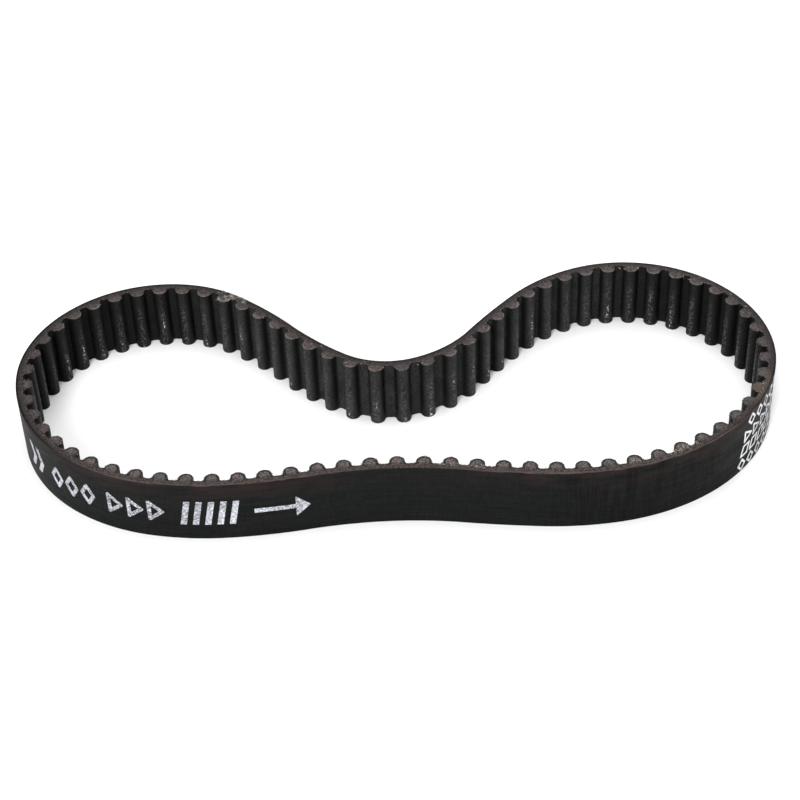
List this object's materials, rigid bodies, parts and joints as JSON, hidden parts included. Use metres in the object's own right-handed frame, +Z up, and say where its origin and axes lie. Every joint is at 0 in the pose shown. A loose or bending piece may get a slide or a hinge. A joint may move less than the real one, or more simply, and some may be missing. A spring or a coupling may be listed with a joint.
{
  "type": "timing belt",
  "caption": "Endless rubber timing belt with round-topped teeth inside and a smooth back, lying on its edge as a loose loop pinched at the waist.",
  "frame": {"origin": "centre of the loop's outline in plan, on the surface that the lower edge rests on", "axes": "+X along the loop, from its left lobe to its right lobe; +Y from the front run to the dented back run; +Z up, across the belt's width"},
  "size_m": [0.2428, 0.1042, 0.022],
  "materials": {
    "backing_rubber": "matt ground black rubber, faint grain along the belt",
    "tensile_cord": "twisted glass-fibre cord, dipped",
    "tooth_rubber": "moulded black rubber, brownish where it is cut",
    "facing_fabric": "dark grey nylon fabric bonded over the teeth, fine weave"
  },
  "bodies": {
    "front_right": {"backing_front_right": "backing_rubber", "cords_front_right": "tensile_cord", "teeth_front_right": "tooth_rubber", "facing_front_right": "facing_fabric"},
    "right_sweep": {"backing_right_sweep": "backing_rubber", "cords_right_sweep": "tensile_cord", "teeth_right_sweep": "tooth_rubber", "facing_right_sweep": "facing_fabric"},
    "right_corner": {"backing_right_corner": "backing_rubber", "cords_right_corner": "tensile_cord", "teeth_right_corner": "tooth_rubber", "facing_right_corner": "facing_fabric"},
    "right_end": {"backing_right_end": "backing_rubber", "cords_right_end": "tensile_cord", "teeth_right_end": "tooth_rubber", "facing_right_end": "facing_fabric"},
    "right_lobe": {"backing_right_lobe": "backing_rubber", "cords_right_lobe": "tensile_cord", "teeth_right_lobe": "tooth_rubber", "facing_right_lobe": "facing_fabric"},
    "right_neck": {"backing_right_neck": "backing_rubber", "cords_right_neck": "tensile_cord", "teeth_right_neck": "tooth_rubber", "facing_right_neck": "facing_fabric"},
    "dent": {"backing_dent": "backing_rubber", "cords_dent": "tensile_cord", "teeth_dent": "tooth_rubber", "facing_dent": "facing_fabric"},
    "left_neck": {"backing_left_neck": "backing_rubber", "cords_left_neck": "tensile_cord", "teeth_left_neck": "tooth_rubber", "facing_left_neck": "facing_fabric"},
    "left_lobe": {"backing_left_lobe": "backing_rubber", "cords_left_lobe": "tensile_cord", "teeth_left_lobe": "tooth_rubber", "facing_left_lobe": "facing_fabric"},
    "left_end": {"backing_left_end": "backing_rubber", "cords_left_end": "tensile_cord", "teeth_left_end": "tooth_rubber", "facing_left_end": "facing_fabric"},
    "left_corner": {"backing_left_corner": "backing_rubber", "cords_left_corner": "tensile_cord", "teeth_left_corner": "tooth_rubber", "facing_left_corner": "facing_fabric"},
    "left_sweep": {"backing_left_sweep": "backing_rubber", "cords_left_sweep": "tensile_cord", "teeth_left_sweep": "tooth_rubber", "facing_left_sweep": "facing_fabric"},
    "front_left": {"backing_front_left": "backing_rubber", "cords_front_left": "tensile_cord", "teeth_front_left": "tooth_rubber", "facing_front_left": "facing_fabric"}
  },
  "joints": [
    {"name": "left_neck_flex", "type": "hinge", "parent": "dent", "child": "left_neck", "pos_m": [-0.01709, 0.00842, 0.011], "axis": [0, 0, 1], "range_deg": [-4, 4], "stiffness_Nm_per_rad": 0.05},
    {"name": "left_lobe_flex", "type": "hinge", "parent": "left_neck", "child": "left_lobe", "pos_m": [-0.05183, 0.04139, 0.011], "axis": [0, 0, 1], "range_deg": [-3.1, 3.1], "stiffness_Nm_per_rad": 0.05},
    {"name": "left_end_flex", "type": "hinge", "parent": "left_lobe", "child": "left_end", "pos_m": [-0.09708, 0.04494, 0.011], "axis": [0, 0, 1], "range_deg": [-0.22, 0.22], "stiffness_Nm_per_rad": 0.05},
    {"name": "left_corner_flex", "type": "hinge", "parent": "left_end", "child": "left_corner", "pos_m": [-0.11985, 0.0055, 0.011], "axis": [0, 0, 1], "range_deg": [-6.3, 6.3], "stiffness_Nm_per_rad": 0.05},
    {"name": "left_sweep_flex", "type": "hinge", "parent": "left_corner", "child": "left_sweep", "pos_m": [-0.09823, -0.03559, 0.011], "axis": [0, 0, 1], "range_deg": [-6.91, 6.91], "stiffness_Nm_per_rad": 0.05},
    {"name": "front_left_flex", "type": "hinge", "parent": "left_sweep", "child": "front_left", "pos_m": [-0.05293, -0.04856, 0.011], "axis": [0, 0, 1], "range_deg": [-6.42, 6.42], "stiffness_Nm_per_rad": 0.05},
    {"name": "right_neck_flex", "type": "hinge", "parent": "dent", "child": "right_neck", "pos_m": [0.02532, 0.0176, 0.011], "axis": [0, 0, 1], "range_deg": [-2.78, 2.78], "stiffness_Nm_per_rad": 0.05},
    {"name": "right_lobe_flex", "type": "hinge", "parent": "right_neck", "child": "right_lobe", "pos_m": [0.06139, 0.04817, 0.011], "axis": [0, 0, 1], "range_deg": [-2.42, 2.42], "stiffness_Nm_per_rad": 0.05},
    {"name": "right_end_flex", "type": "hinge", "parent": "right_lobe", "child": "right_end", "pos_m": [0.10588, 0.0381, 0.011], "axis": [0, 0, 1], "range_deg": [-1.37, 1.37], "stiffness_Nm_per_rad": 0.05},
    {"name": "right_corner_flex", "type": "hinge", "parent": "right_end", "child": "right_corner", "pos_m": [0.11851, -0.00596, 0.011], "axis": [0, 0, 1], "range_deg": [-7.32, 7.32], "stiffness_Nm_per_rad": 0.05},
    {"name": "right_sweep_flex", "type": "hinge", "parent": "right_corner", "child": "right_sweep", "pos_m": [0.08918, -0.04218, 0.011], "axis": [0, 0, 1], "range_deg": [-5.06, 5.06], "stiffness_Nm_per_rad": 0.05},
    {"name": "front_right_flex", "type": "hinge", "parent": "right_sweep", "child": "front_right", "pos_m": [0.04253, -0.04997, 0.011], "axis": [0, 0, 1], "range_deg": [-8.44, 8.44], "stiffness_Nm_per_rad": 0.05}
  ],
  "couplings": [
    {"joint": "left_lobe_flex", "follows": "left_neck_flex", "ratio": 0.772},
    {"joint": "left_end_flex", "follows": "left_neck_flex", "ratio": -0.053},
    {"joint": "left_corner_flex", "follows": "left_neck_flex", "ratio": -1.572},
    {"joint": "left_sweep_flex", "follows": "left_neck_flex", "ratio": -1.724},
    {"joint": "front_left_flex", "follows": "left_neck_flex", "ratio": 1.603},
    {"joint": "right_neck_flex", "follows": "left_neck_flex", "ratio": -0.692},
    {"joint": "right_lobe_flex", "follows": "left_neck_flex", "ratio": -0.603},
    {"joint": "right_end_flex", "follows": "left_neck_flex", "ratio": 0.339},
    {"joint": "right_corner_flex", "follows": "left_neck_flex", "ratio": 1.828},
    {"joint": "right_sweep_flex", "follows": "left_neck_flex", "ratio": 1.262},
    {"joint": "front_right_flex", "follows": "left_neck_flex", "ratio": -2.107}
  ]
}
